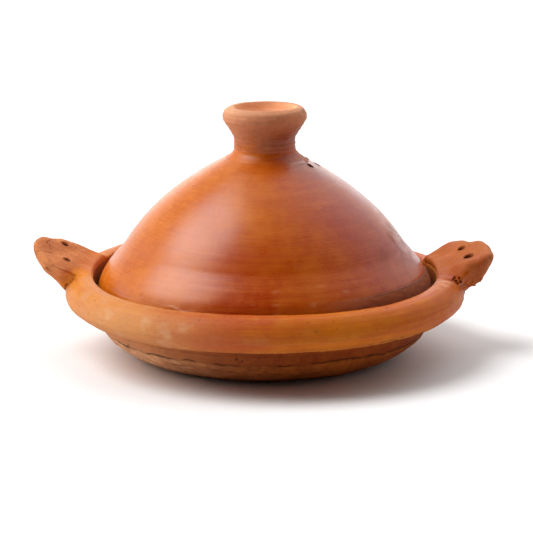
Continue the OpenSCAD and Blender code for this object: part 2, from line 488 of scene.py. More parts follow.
def clay(name, slip, raw, gloss, streaks, shine):
    """Terracotta: burnished slip where the mark "slip" is 1, bare gritty clay where it is 0.

    slip and raw are each a deep and a bright colour. gloss is the slip's roughness, streaks is how much it
    is streaked, and shine is its specular level.
    """
    g = Surface(name)
    n = clay_noises(g)
    slip_mark = g.mark("slip")
    bare = g.maths("SUBTRACT", 1.0, slip_mark)
    tone = g.mix(slip_mark, gritty_tone(g, n, raw), burnished_tone(g, n, slip, streaks))
    tone = g.mix(g.mark("pale"), tone, PALE)
    # The tone mark scales the colour: random tone, and in places painted light and painted shade.
    level = g.ramp(g.mark("tone"), -1.0, 1.0, 0.6, 1.4)
    level = g.maths("ADD", g.ramp(n["dust"], 0.25, 0.75, -0.07, 0.07), level)
    grey = g.node("CombineColor", {0: level, 1: level, 2: level}).outputs[0]
    tone = g.mix(1.0, tone, grey, "MULTIPLY")
    # Painted shade: holes, cracks, creases and seams darken towards a deep shade of the bare clay.
    hollow = colour(*(HOLLOW_SHADE_SHARE * v for v in raw[0][:3]))
    tone = g.mix(g.maths("MULTIPLY", g.mark("painted_cavity_shade"), 0.85), tone, hollow)
    g.put(g.shader.inputs["Base Color"], tone)
    clouds = g.ramp(n["clouds"], 0.3, 0.7, gloss - 0.03, gloss + 0.05)
    roughness = g.maths("ADD", clouds, g.ramp(n["fine"], 0.3, 0.7, -0.03, 0.03))
    roughness = g.maths("MULTIPLY_ADD", bare, BARE_ROUGHNESS - gloss, roughness, clamp=True)
    g.put(g.shader.inputs["Roughness"], roughness)
    g.put(g.shader.inputs["IOR"], 1.5)
    g.put(g.shader.inputs["Specular IOR Level"], shine)
    g.put(g.shader.inputs["Normal"], clay_relief(g, n, bare, streaks))
    return g.material


RAW_CLAY = colour(0.38, 0.088, 0.034), colour(0.59, 0.210, 0.098)
LUTED_CLAY = colour(0.36, 0.090, 0.024), colour(0.58, 0.225, 0.085)
LID_CLAY = colour(0.22, 0.04, 0.006), colour(0.34, 0.075, 0.012)
RIM_CLAY = colour(0.38, 0.088, 0.012), colour(0.58, 0.20, 0.035)
DISH_CLAY = colour(0.18, 0.025, 0.002), colour(0.44, 0.115, 0.014)
LID_SLIP = colour(0.34, 0.028, 0.0003), colour(0.61, 0.150, 0.003)
RIM_SLIP = colour(0.43, 0.056, 0.0004), colour(0.61, 0.190, 0.006)
DISH_SLIP = colour(0.17, 0.015, 0.0003), colour(0.29, 0.038, 0.0006)

burnished_lid = clay("burnished_lid", LID_SLIP, LID_CLAY, gloss=0.27, streaks=0.6, shine=0.38)
burnished_rim = clay("burnished_rim", RIM_SLIP, RIM_CLAY, gloss=0.46, streaks=0.8, shine=0.15)
wiped_dish = clay("wiped_dish", DISH_SLIP, DISH_CLAY, gloss=0.6, streaks=0.8, shine=0.12)
raw_clay = clay("raw_clay", LID_SLIP, RAW_CLAY, gloss=0.36, streaks=0.8, shine=0.3)
luted_clay = clay("luted_clay", RIM_SLIP, LUTED_CLAY, gloss=0.5, streaks=0.3, shine=0.16)

# ---- Unevenness that the dish's pieces share ----


def dish_shift(angle, z):
    """How the rim leaves its plane: high at the back left, a little low at the back right."""
    lift = 3.0 * beside(angle, BACK_LEFT, 42) - 1.4 * beside(angle, BACK_RIGHT, 35)
    lift = lift + 0.35 * np.sin(np.radians(3 * angle + 40)) * step(np.abs(turn(angle, BACK)), 20, 60)
    return lift * step(z, 36, 53)


# ---- Dish bowl ----

CORNER_R = 82  # where the curve from the inner wall reaches the dish's floor
CRACK_Z = 18.6
# The left of the bowl: worn bare and paler, and its tone raised as painted light on the side where the
# light falls.
WORN_AND_PAINTED_LIGHT_LEFT, WORN_AND_PAINTED_LIGHT_WIDTH = -150, 36


def bowl_outer():
    return path([FOOT_R, 0], curve([FOOT_R, 0], [FOOT_R + 17.5, 4.4], [BOWL_R, 15], [BOWL_R, KNUCKLE_Z]))


def bowl_line():
    inner_z = KNUCKLE_Z + FLOOR_T / 2
    roll_join = ROLL_LOW + 3
    wall_end, floor_end = [BOWL_IN_R, inner_z], [CORNER_R, FLOOR_T]
    inner = path(wall_end, curve(wall_end, [BOWL_IN_R, inner_z - 10], [94, FLOOR_T + 1.5], floor_end))
    return chain(
        ([[0, 0], [FOOT_R - 2, 0]], 9), ([[FOOT_R - 2, 0], [FOOT_R, 0]], 1), (bowl_outer(), 0.6),
        ([[BOWL_R, KNUCKLE_Z], [BOWL_R, roll_join]], 0.6), ([[BOWL_R, roll_join], [BOWL_R, LEDGE_Z]], 3),
        ([[BOWL_R, LEDGE_Z], [BOWL_IN_R, LEDGE_Z]], 1.5), ([[BOWL_IN_R, LEDGE_Z], wall_end], 2),
        (inner, 2), ([floor_end, [0, FLOOR_T]], 4))


def bowl_crack(sx, sy, z):
    """The ragged crack low round the bowl, a fainter one under it in places, and the shelf above them."""
    wander = 1.0 * noise(sx * 2.4, sy * 2.4, 0 * z, 5) + 0.8 * noise(sx * 9, sy * 9, 0 * z, 6)
    wander = wander + 0.4 * noise(sx * 34, sy * 34, 0 * z, 9)
    crack_z = CRACK_Z + wander
    depth = 0.4 + 0.6 * step(fractal(sx * 9, sy * 9, 0 * z + 4, 3, 7), -0.3, 0.3)
    crack = np.exp(-(((z - crack_z) / (0.28 + 0.25 * depth)) ** 2)) * depth
    second = hump(z, crack_z - 4.6 + 1.2 * noise(sx * 5, sy * 5, 0 * z, 10), 0.45)
    second = second * step(noise(sx * 4, sy * 4, 0 * z + 2, 17), 0.15, 0.5)
    return np.maximum(crack, 0.6 * second), step(z, crack_z, crack_z + 0.9)


def bowl_shape(angle, x, y, z, r):
    outer = bowl_outer()
    reach = np.interp(z, outer[:, 1], outer[:, 0])
    outside = step(r, FOOT_R - 1, FOOT_R + 4) * (z < ROLL_LOW + 2) * (r > reach - FLOOR_T / 2)
    inside = ((z > FLOOR_T - 0.5) & (r < BOWL_IN_R + 1)).astype(float)
    sx, sy = around(angle)
    crack, shelf = bowl_crack(sx, sy, z)
    rings = 0.12 * np.sin(z * 2.1 + 0.8 * noise(sx * 2, sy * 2, z / 6, 8))
    lumps = 0.55 * fractal(x / 16, y / 16, z / 9, 3, 11) + 0.16 * fractal(x / 2.6, y / 2.6, z / 1.6, 3, 12)
    pits = step(noise(x / 1.9, y / 1.9, z / 1.5, 13), 0.62, 0.85)
    pits = pits * step(fractal(x / 20, y / 20, z / 20, 2, 14), 0, 0.4)
    move = outside * (lumps + rings - 1.3 * crack - 0.45 * shelf - 0.7 * pits)
    finger_rings = 0.3 * np.sin(r * 0.9) * (z < 20) + 0.25 * np.sin(z * 1.3) * (z >= 20)
    move = move + inside * step(110 - r, 2, 8) * 0.5 * finger_rings
    left = beside(angle, WORN_AND_PAINTED_LIGHT_LEFT, WORN_AND_PAINTED_LIGHT_WIDTH)
    # Painted shade: the shelf under the rim's overhang takes more of the dark slip.
    slip = np.clip(0.55 * shelf * outside + 0.25 * fractal(x / 9, y / 9, z / 3, 3, 15), 0, 1)
    slip = np.clip(slip - 0.7 * left, 0, 1)
    hatching = fractal(x / 5 + z / 4, y / 5, z / 2.2, 3, 18)
    worn = left * (0.35 + 0.3 * (1 - shelf) + 0.35 * hatching * (1 - shelf))
    # Tone: darker on the shelf under the rim's overhang as painted shade, raised on the lit left as painted
    # light, raised a little at the front right, and hatched below the crack.
    tone = outside * (-0.2 * shelf * (1 - left) + 0.3 * beside(angle, -50, 24)
                      + (1 - shelf) * (0.4 * hatching - 0.15) + 0.6 * left)
    # Painted shade in the crack and the pits.
    painted_cavity_shade = outside * np.clip(crack * 1.3 + 0.8 * pits, 0, 1)
    return move, {"painted_cavity_shade": painted_cavity_shade, "slip": slip, "pale": np.clip(worn * outside, 0, 1), "tone": tone}, 0.0


# ---- Rolled rim ----

CHIPPED_RIGHT, CHIPPED_WIDTH = -42, 22
RUBBED_LEFT, RUBBED_WIDTH = -138, 32
STAIN = -14


def rim_line():
    crest_r, edge_z, inner_r = SEAT_R + 6, RIM_TOP - 1.8, BOWL_R - 1
    foot, belly, crest = [RIM_R - ROLL_UNDERCUT, ROLL_LOW], [RIM_R, BELLY_Z], [crest_r, RIM_TOP]
    roll = path(foot, curve(foot, [foot[0] + 4, ROLL_LOW + 3], [RIM_R - 0.6, BELLY_Z - 4], belly),
                curve(belly, [RIM_R, BELLY_Z + 8.4], [crest_r + 7.4, RIM_TOP], crest),
                curve(crest, [crest_r - 2.4, RIM_TOP], [SEAT_R + 0.2, edge_z + 1.2], [SEAT_R, edge_z]))
    return chain(
        ([[inner_r, ROLL_LOW + 1.5], foot], 1.0), (roll, 0.75),
        ([[SEAT_R, edge_z], [SEAT_R, LEDGE_Z]], 1.2), ([[SEAT_R, LEDGE_Z], [inner_r, LEDGE_Z]], 1.6),
        ([[inner_r, LEDGE_Z], [inner_r, ROLL_LOW + 1.5]], 2.5))[:-1]


def rim_shape(angle, x, y, z, r):
    shown = step(r, SEAT_R - 3, SEAT_R - 1)
    lumps = 0.5 * fractal(x / 28, y / 28, z / 14, 3, 21) + 0.08 * fractal(x / 3, y / 3, z / 2, 3, 22)
    rings = 0.07 * np.sin(r * 2.2 + z * 1.7)
    low = hump(z, ROLL_LOW + 0.5, 3.2) * step(r, 124, 130)
    right = beside(angle, CHIPPED_RIGHT, CHIPPED_WIDTH)
    chips = noise(x / 4.4, y / 4.4, z / 2.0, 23) + 0.4 * noise(x / 1.8, y / 1.8, z / 1.2, 28)
    ragged = low * (0.08 + 0.6 * right) * step(chips, 0.15, 0.6)
    nicks = step(noise(x / 2.4, y / 2.4, z / 1.4, 24), 0.72, 0.9) * 0.7
    inner = hump(r, SEAT_R + 0.4, 1.8) * step(z, 45, 54) * step(noise(x / 4, y / 4, z / 3, 25), 0.35, 0.8)
    move = shown * (lumps + rings - 1.6 * ragged - 0.35 * nicks - 0.6 * inner)
    grain = step(fractal(x / 11, y / 11, z / 7, 4, 26), 0.05, 0.7)
    rubbed = beside(angle, RUBBED_LEFT, RUBBED_WIDTH) * hump(z, 44, 14) * (0.45 + 0.55 * grain)
    seat_wall = (r < SEAT_R + 1.0) * 0.6
    bare = np.clip(0.12 * grain + low * (0.55 + 0.4 * right) + 0.7 * rubbed + seat_wall, 0, 1)
    stain = beside(angle, STAIN, 8) * hump(r, 129, 5) * (z > 50)
    stain = stain * step(fractal(x / 6, y / 3, z / 3, 3, 27), -0.1, 0.6)
    lift = dish_shift(angle, z)
    shift = np.stack([0 * lift, 0 * lift, lift * step(r, SEAT_R - 4, SEAT_R)], -1)
    marks = {
        # Painted shade in the ragged chips and the nicks.
        "painted_cavity_shade": np.clip(ragged * 0.8 + 0.5 * nicks, 0, 1),
        "slip": 1 - bare,
        "pale": np.clip(0.5 * stain + 0.8 * rubbed, 0, 1),
        # Painted shade: the seat's inner wall, in the gap under the lid, is darkened.
        "tone": -1.0 * (r < SEAT_R + 0.5) * step(RIM_TOP - z, 1.5, 5),
    }
    return move, marks, shift


# ---- Lid ----

ROUGH_FROM = -30  # the direction that the rough edge's ends are measured from



def crown_height(r):
    """The height of the lid's straight upper slope at a distance from the axis."""
    return CROWN_Z - (r - CROWN_R) / math.tan(math.radians(CROWN_LEAN))


def pierce(piece):
    """Cuts the steam vents through the lid, square to its slope and a little wider outside than inside."""
    lean_angle = math.radians(CROWN_LEAN)
    for vent_angle, reach_out in VENTS:
        out = Vector((math.cos(math.radians(vent_angle)), math.sin(math.radians(vent_angle)), 0))
        centre = out * reach_out * MM
        centre.z = crown_height(reach_out) * MM
        axis = out * math.cos(lean_angle) + Vector((0, 0, 1)) * math.sin(lean_angle)
        cutter_mesh = bpy.data.meshes.new("vent_cutter")
        shape = bmesh.new()
        bmesh.ops.create_cone(shape, cap_ends=True, segments=40, radius1=VENT_R * 0.9 * MM,
                              radius2=VENT_R * 1.12 * MM, depth=28 * MM)
        shape.to_mesh(cutter_mesh)
        shape.free()
        cutter = bpy.data.objects.new("vent_cutter", cutter_mesh)
        cutter.location = centre
        cutter.rotation_euler = axis.to_track_quat("Z", "Y").to_euler()
        bpy.context.scene.collection.objects.link(cutter)
        cut = piece.modifiers.new("vent", "BOOLEAN")
        cut.object = cutter
        cut.solver = "EXACT"
        bpy.context.view_layer.update()
        evaluated = piece.evaluated_get(bpy.context.evaluated_depsgraph_get())
        mesh = bpy.data.meshes.new_from_object(evaluated)
        piece.modifiers.clear()
        piece.data = mesh
        bpy.data.objects.remove(cutter)
        bpy.data.meshes.remove(cutter_mesh)


def lid_lines():
    """The lid's outer face from its edge up to the knob, and its inner face a wall's thickness inside."""
    edge = np.array([LID_R, LID_LOW + 2.6])
    flank = np.array([LID_R - FLANK_IN, LID_LOW + FLANK_H])
    brow = np.array([LUTING_R, crown_height(LUTING_R)])
    rise, span = np.linalg.norm(flank - edge), np.linalg.norm(brow - flank)
    flank_lean, crown_lean = lean(FLANK_LEAN), lean(CROWN_LEAN)
    outer = path(edge, curve(edge, edge + [0, 0.37 * rise], flank - 0.23 * rise * flank_lean, flank, 40),
                 curve(flank, flank + 0.44 * span * flank_lean, brow - 0.12 * span * crown_lean, brow, 80))
    return outer, outer - LID_WALL * line_normals(outer, False)


def lid_line():
    outer, inner = lid_lines()
    foot_in, foot_out = [inner[0][0] + 1.5, LID_LOW], [LID_R - 2.6, LID_LOW]
    edge = path(foot_out, curve(foot_out, [LID_R - 1, LID_LOW], [LID_R, LID_LOW + 1], outer[0], 8))
    return chain(
        ([[0, inner[-1][1]], inner[-1]], 5), (inner[::-1], 4),
        ([inner[0], foot_in], 1), ([foot_in, foot_out], 2), (edge, 0.8), (outer, 1.1),
        ([outer[-1], [CROWN_R, CROWN_Z]], 1), ([[CROWN_R, CROWN_Z], [0, CROWN_Z]], 6))


def rough_edge(angle, sx, sy, z):
    """The rough edge under the burnish on the right: how much of it is here, and the crease at its top."""
    band_side = step(turn(angle, ROUGH_FROM), -46, -14) * (1 - step(turn(angle, ROUGH_FROM), 70, 115))
    crease_z = LID_LOW + 17.6 + 0.5 * noise(sx * 6, sy * 6, 0 * z, 34)
    below = band_side * (1 - step(z, crease_z - 1.0, crease_z + 0.3))
    bulge = band_side * hump(z, crease_z - 8, 6) * 0.7
    return below, band_side * hump(z, crease_z - 0.5, 0.7), bulge


def vent_burr(x, y, z):
    """The low ring of clay pushed up round each steam vent."""
    burr = np.zeros_like(z)
    for vent_angle, reach_out in VENTS:
        vx = reach_out * math.cos(math.radians(vent_angle))
        vy = reach_out * math.sin(math.radians(vent_angle))
        burr = np.maximum(burr, hump(np.hypot(x - vx, y - vy), VENT_R + 0.6, 0.6) * (z > 120))
    return burr


def left_marks(angle, z):
    """Small marks low on the left of the lid: a curled seam, a chip under it and a nick beside it."""
    curl_z = 54.2 - 0.14 * turn(angle, -125) + 0.7 * np.sin(np.radians(turn(angle, -125) * 42))
    curl = hump(z, curl_z, 0.7) * beside(angle, -119, 5)
    chip = hump(z, curl_z - 1.2, 0.7) * beside(angle, -122, 3)
    return curl, chip, beside(angle, -137.7, 0.45) * hump(z, 58, 0.8)


def lid_shape(angle, x, y, z, r):
    outer, _ = lid_lines()
    outside = step(r - np.interp(z, outer[:, 1], outer[:, 0]), -3.5, -1.5)
    sx, sy = around(angle)
    rings = 0.02 * np.sin(z * 0.95 + 1.5 * noise(sx * 1.5, sy * 1.5, z / 20, 31))
    facets = 0.02 * noise(sx * 5, sy * 5, z / 2.2, 32)
    swell = 0.5 * noise(sx * 1.2 + 3, sy * 1.2, z / 60, 33)
    below, crease, bulge = rough_edge(angle, sx, sy, z)
    coarse = 0.45 * fractal(x / 3, y / 3, z / 2.2, 3, 35)
    burr = vent_burr(x, y, z)
    curl, chip, nick = left_marks(angle, z)
    move = outside * (rings + facets + swell + below * coarse + 0.35 * bulge - 0.4 * crease + 0.2 * burr
                      - 0.5 * chip + 0.6 * curl - 0.6 * nick)
    fleck = step(noise(sx * 14, sy * 14, z / 1.6, 36), 0.6, 0.85) * hump(z, 62, 14)
    fleck = fleck * beside(angle, -72, 28)
    patchy = step(fractal(x / 9, y / 9, z / 9, 4, 37), 0.0, 0.6) * beside(angle, -18, 26) * hump(z, 84, 17)
    marks = {
        # Painted shade in the crease, the nick and the chip.
        "painted_cavity_shade": np.clip(0.5 * crease + 0.6 * nick + 0.3 * chip, 0, 1),
        "slip": 1 - np.clip(below + 0.4 * patchy + (1 - outside), 0, 1),
        "pale": np.clip(0.2 * fleck + 0.2 * curl + 0.1 * burr, 0, 1) * outside,
        "tone": -0.25 * patchy,
    }
    return move, marks, 0.0


# ---- Luting and knob ----

LUTING_FOOT_R = LUTING_R + 1.8
LIP_ROUND, LIP_FROM = 6.6, -32  # the radius of the knob's lip, and the direction where its round starts


def luting_line():
    foot = np.array([LUTING_FOOT_R, crown_height(LUTING_FOOT_R)])
    top = np.array([NECK_R, LUTING_TOP])
    inner_top, inner_low = [NECK_R - 2, LUTING_TOP], [NECK_R - 2, LUTING_LOW - 2]
    face = path(foot, curve(foot, foot + 6.0 * lean(CROWN_LEAN), top - [0, 3.2], top))
    return chain((face, 0.5), ([top, inner_top], 1), ([inner_top, inner_low], 2),
                 ([inner_low, foot], 2))[:-1]


def luting_shape(angle, x, y, z, r):
    shown = step(r, NECK_R - 1, NECK_R)
    edge = step(r, LUTING_R - 4, LUTING_FOOT_R)
    right = 0.1 + 0.9 * beside(angle, 5, 50)
    crumbs = fractal(x / 2.2, y / 2.2, z / 1.8, 3, 41)
    tongues = fractal(x / 6.5, y / 6.5, 0 * z, 3, 42)
    sunk = 0.15 + 0.15 * right
    move = shown * (0.35 * right * crumbs + 0.6 * tongues * edge * right - sunk * edge)
    bare = np.clip(1.3 * (right - 0.62) + 0.3 * right * crumbs, 0, 1)
    marks = {
        # Painted shade between the crumbs of the bare fillet.
        "painted_cavity_shade": step(-crumbs, 0.25, 0.7) * 0.5 * bare,
        "slip": 1 - bare,
        "pale": np.clip(0.35 * edge * bare * step(crumbs, -0.2, 0.4), 0, 1),
        "tone": 0 * x,
    }
    return move, marks, 0.0


def knob_line():
    lip_centre = np.array([LIP_R - LIP_ROUND, KNOB_TOP - LIP_ROUND])
    turns = np.radians(np.linspace(LIP_FROM, 90, 30))
    lip = lip_centre + LIP_ROUND * np.c_[np.cos(turns), np.sin(turns)]
    neck_top = np.array([NECK_R, CROWN_Z + NECK_H])
    mouth = np.array([LIP_R - 8.1, KNOB_TOP - 1.8])
    cup = np.array([9.0, CROWN_Z + 21.0])
    flare = path(neck_top, curve(neck_top, neck_top + [0.4, 2.2], lip[0] - [1.6, 2.6], lip[0]), lip[1:],
                 curve(lip[-1], lip[-1] - [1.2, 0], mouth + [0.2, 1.2], mouth))
    bowl = path(mouth, curve(mouth, mouth - [1.4, 4], cup + [6, 1], cup))
    return chain(([[0, CROWN_Z], [NECK_R, CROWN_Z]], 5), ([[NECK_R, CROWN_Z], neck_top], 0.6), (flare, 0.6),
                 (bowl, 1.0), ([cup, [0, cup[1]]], 2.5))


def knob_slip(angle, sx, sy, z, r, outside, grain):
    """The knob's slip: washed up the neck, none in the cup, and more in the groove at the right front,
    where with its darker tone it is painted shade under the lip.
    """
    wash_top = CROWN_Z + 9 + 4 * noise(sx * 2, sy * 2, 0 * z, 55)
    washed = (1 - step(z, wash_top - 5, wash_top + 9)) * outside
    slip = np.clip(0.85 * washed + 0.25 * grain, 0, 1)
    in_cup = step(z, CROWN_Z + 19, CROWN_Z + 22) * (1 - step(r, 21, 23))
    groove = hump(z, CROWN_Z + 16, 9) * outside * beside(angle, -45, 65)
    return np.clip(slip * (1 - in_cup) + 0.75 * groove, 0, 1), in_cup, groove


def knob_shape(angle, x, y, z, r):
    sx, sy = around(angle)
    outside = step(r, 15, 20)
    rings = 0.14 * np.sin(z * 1.9 + 1.2 * noise(sx, sy, z / 9, 51))
    soft = 0.35 * fractal(x / 14, y / 14, z / 9, 3, 52) + 0.07 * fractal(x / 1.8, y / 1.8, z / 1.2, 3, 53)
    chip = beside(angle, -14, 6) * hump(z, KNOB_TOP - 2.6, 1.7) * step(r, 25, 28)
    grain = fractal(x / 5, y / 5, z / 3, 4, 54)
    tilt = 0.5 * np.sin(np.radians(angle - 200)) * step(z, CROWN_Z + 10, KNOB_TOP)
    slip, in_cup, groove = knob_slip(angle, sx, sy, z, r, outside, grain)
    rubbed = beside(angle, -165, 60) + 0.8 * beside(angle, -8, 22)
    rubbed = 0.35 * rubbed * outside * step(z, CROWN_Z + 8, CROWN_Z + 20)
    top_edge = 0.25 * step(z, KNOB_TOP - 5, KNOB_TOP - 1) * outside
    marks = {
        # Painted shade in the chip.
        "painted_cavity_shade": 0.6 * chip,
        "slip": slip,
        # Painted light: the cup's inside is paler and brighter. Painted shade: the groove under the lip at
        # the right front is darker.
        "pale": np.clip(0.5 * in_cup + rubbed + top_edge, 0, 1),
        "tone": 0.15 * grain + 0.9 * in_cup - 0.8 * groove + 0.3 * rubbed,
    }
    return outside * (rings + soft - 0.8 * chip), marks, np.stack([0 * tilt, 0 * tilt, tilt], -1)


# ---- Lugs ----


def line_distance(line, px, py):
    """Signed distance from points to a closed outline, negative inside."""
    best = np.full(px.shape, 1e9)
    inside = np.zeros(px.shape, bool)
    for (ax, ay), (bx, by) in zip(line, np.roll(line, -1, 0)):
        dx, dy = bx - ax, by - ay
        length = max(dx * dx + dy * dy, 1e-12)
        t = np.clip(((px - ax) * dx + (py - ay) * dy) / length, 0, 1)
        best = np.minimum(best, np.hypot(px - ax - t * dx, py - ay - t * dy))
        if abs(dy) > 1e-9:
            crosses = (ay > py) != (by > py)
            inside ^= crosses & (px < ax + dx * (py - ay) / dy)
    return np.where(inside, -best, best)


def grid_lookup(table, low, spacing, a, b):
    """Values of a 2-D table at points, between its cells."""
    ga, gb = (a - low[0]) / spacing, (b - low[1]) / spacing
    ga = np.clip(ga, 0, table.shape[0] - 1.001)
    gb = np.clip(gb, 0, table.shape[1] - 1.001)
    i, j = ga.astype(int), gb.astype(int)
    fa, fb = ga - i, gb - j
    return ((table[i, j] * (1 - fa) + table[i + 1, j] * fa) * (1 - fb)
            + (table[i, j + 1] * (1 - fa) + table[i + 1, j + 1] * fa) * fb)


def rod(u, v, z, a, b, radius):
    """Distance to a round-ended rod from a to b."""
    a, b = np.array(a, float), np.array(b, float)
    d = b - a
    t = np.clip(((u - a[0]) * d[0] + (v - a[1]) * d[1] + (z - a[2]) * d[2]) / (d @ d), 0, 1)
    gap = (u - a[0] - t * d[0]) ** 2 + (v - a[1] - t * d[1]) ** 2 + (z - a[2] - t * d[2]) ** 2
    return np.sqrt(gap) - radius


# A lug is modelled in its own u, v and z, in mm: u outwards from the axis, v to the back, z up.
LUG_TURN = 6.0  # degrees that the lugs point to the back
LUG_IN = 122.0
GRID_STEP, GRID_LOW, GRID_SPAN = 0.55, np.array([115.0, -42.0, 35.0]), (52, 84, 46)
# The lugs' outlines from above, hand-squeezed and uneven, as (u, v).
LEFT_OUTLINE = [(112, -26), (124, -24), (129, -26), (134, -30), (140, -33), (147, -32), (154, -28),
                (161, -21), (167, -9), (168, 2), (164, 14), (156, 19), (148, 20), (141, 23),
                (131, 24), (124, 27), (112, 30)]
RIGHT_OUTLINE = [(112, -26), (124, -24), (131, -23), (138, -25), (146, -27), (154, -27), (162, -24),
                 (165, -14), (164, 0), (159, 9), (150, 14), (146, 22), (138, 28), (127, 27), (112, 30)]


def lug_top(u, v):
    """Height of a lug's top: it rises outwards, flattens to the tip, and leans to the front."""
    out = u - LUG_IN
    return 57.6 + 0.64 * out - 0.0055 * out * out + 0.135 * v


def rounded(outline):
    """The outline with its corners cut three times over."""
    line = np.array(outline, float)
    for _ in range(3):
        after = np.roll(line, -1, 0)
        line = np.stack([0.75 * line + 0.25 * after, 0.25 * line + 0.75 * after], 1).reshape(-1, 2)
    return line


def lug_to_pot(u, v, left):
    """A lug's u and v as the pot's x and y."""
    turned = math.radians(180 - LUG_TURN if left else LUG_TURN)
    c, s, side = math.cos(turned), math.sin(turned), -1 if left else 1
    return u * c - side * v * s, u * s + side * v * c


def lug_grid():
    axes = (low + GRID_STEP * np.arange(int(span / GRID_STEP)) for low, span in zip(GRID_LOW, GRID_SPAN))
    return np.meshgrid(*axes, indexing="ij")


def rim_distance(angle, r, z):
    """Distance to the rim's roll, from a table of its cross-section."""
    table_step, low, high = 0.4, (100, 25), (150, 66)
    axes = (np.arange(a, b, table_step) for a, b in zip(low, high))
    table = line_distance(rim_line(), *np.meshgrid(*axes, indexing="ij"))
    return grid_lookup(table, low, table_step, r, z - dish_shift(angle, z))


def plan_distance(outline, u, v):
    """Distance to a lug's outline from above, from a table."""
    table_step, low, high = 0.5, (110, -45), (170, 45)
    axes = (np.arange(a, b, table_step) for a, b in zip(low, high))
    table = line_distance(rounded(outline), *np.meshgrid(*axes, indexing="ij"))
    return grid_lookup(table, low, table_step, u, v)


def lug_clay(u, v, z, rim, top, extra):
    """The tongue of clay, rounded between its top, outline and underside, and luted over the rim."""
    depth = np.maximum(top - z, 0)
    plan = plan_distance(extra["outline"], u, v) + extra["taper"](u, v, depth)
    under = 42.6 + 1.02 * (u - 140.8) + 0.05 * np.abs(v) + extra["under"](u, v)
    tongue = smooth_max(0.86 * (z - top), plan, extra["edge"](u, v))
    tongue = smooth_max(tongue, 0.7 * (under - z), 7)
    tongue = extra["carve"](tongue, u, v, z)
    seed = extra["seed"]
    both = smooth_min(tongue, rim + 0.55 - 1.6 * extra["smudge"](u, v, z), extra["blend"])
    both = both + 0.22 * fractal(u / 7, v / 7, z / 7, 3, seed + 1)
    return both + 0.07 * fractal(u / 1.7, v / 1.7, z / 1.7, 2, seed + 2)


def lug_holes(u, v, z, extra):
    """Distance to the nearest of the firing holes poked in from above and the gouges."""
    hole = np.full(u.shape, 9.0)
    for pu, pv, slant, radius in extra["pokes"]:
        pz = lug_top(np.array(pu), np.array(pv))
        start = (pu + 4 * slant, pv, pz + 6)
        end = (pu - 4.6 * slant, pv, pz - 6.5)
        hole = np.minimum(hole, rod(u, v, z, start, end, radius))
    for start, end, radius in extra["gouges"]:
        hole = np.minimum(hole, rod(u, v, z, start, end, radius))
    return hole


def lug_cracks(u, v, z, extra):
    """Fine cracks in the drying clay, 1 at their middle."""
    seed = extra["seed"]
    line = noise((u + v) / 11, (u - v) / 15, z / 9, seed + 3)
    line = line + 0.3 * noise(u / 2.5, v / 2.5, z / 2.5, seed + 4)
    line = np.abs(line + 0.5 * noise(u / 6, v / 6, z / 6, seed + 7))
    return (1 - step(line, 0.02, 0.075)) * extra["cracked"](u, v, z)


def build_lug(name, node, left, extra):
    u, v, z = lug_grid()
    x, y = lug_to_pot(u, v, left)
    angle, r = np.degrees(np.arctan2(y, x)), np.hypot(x, y)
    seed = extra["seed"]
    rim = rim_distance(angle, r, z)
    top = lug_top(u, v) + 0.9 * noise(u / 13, v / 13, 0 * z, seed) + extra["top"](u, v)
    hole = lug_holes(u, v, z, extra)
    lip = 0.35 * hump(hole, 0.9, 1.1) * (hole > 0)
    field = smooth_max(lug_clay(u, v, z, rim, top, extra) - lip, -hole, 1.0)
    field = smooth_max(field, (SEAT_R + 0.3) - r, 1.6)
    field = np.maximum(np.maximum(field, np.abs(v) - 40.5), 37.0 - z)
    cracks = lug_cracks(u, v, z, extra)
    seam = extra["seam"](u, v, z, rim)
    points, faces = surface_of(field + 0.55 * cracks + 0.9 * seam, GRID_LOW, GRID_STEP)
    at = [((points[:, n] - GRID_LOW[n]) / GRID_STEP).round().astype(int) for n in range(3)]
    at = tuple(np.clip(a, 0, n - 1) for a, n in zip(at, u.shape))
    pu, pv, pz = points.T
    # Painted shade: holes, cracks, the seam and the seat's inner wall under the lug are darkened.
    seat_wall = (r[at] < SEAT_R + 1.6) * step(top[at] - pz, 0.8, 4)
    hollows = (np.clip(1 - hole[at] / 0.5, 0, 1) * 0.6, 0.75 * cracks[at], 0.8 * seam[at], 0.5 * seat_wall)
    grain = fractal(pu / 6, pv / 6, pz / 6, 4, seed + 5)
    smeared = 1 - step(rim[at] + 2.5 * noise(pu / 7, pv / 7, pz / 7, seed + 6), 0.5, extra["smear"])
    marks = {
        "painted_cavity_shade": np.maximum.reduce(hollows),
        "slip": np.clip(smeared + extra["slipped"](pu) + 0.2 * grain, 0, 1),
        "pale": 0 * grain,
        "tone": 0.15 * grain + extra["tone"],
    }
    points = np.c_[(*lug_to_pot(pu, pv, left), pz)]
    faces = faces[:, ::-1] if left else faces
    piece = mesh_piece(name, points, faces.tolist(), "dish", [node], marks)
    piece.data.materials.append(luted_clay)


def none(*_):
    return 0.0


def scooped(distance, u, v, z, centre, size, depth):
    """Presses a soft thumb-wide hollow into the clay."""
    near = np.sqrt(sum(((a - c) / w) ** 2 for a, c, w in zip((u, v, z), centre, size)))
    return distance + depth * np.exp(-(near ** 2))


def jab(u, z, radius):
    """A hole poked into a lug from the front, a little downwards."""
    return (u - 2.3, -46.0, z + 5.1), (u - 0.2, -27.0, z + 0.5), radius


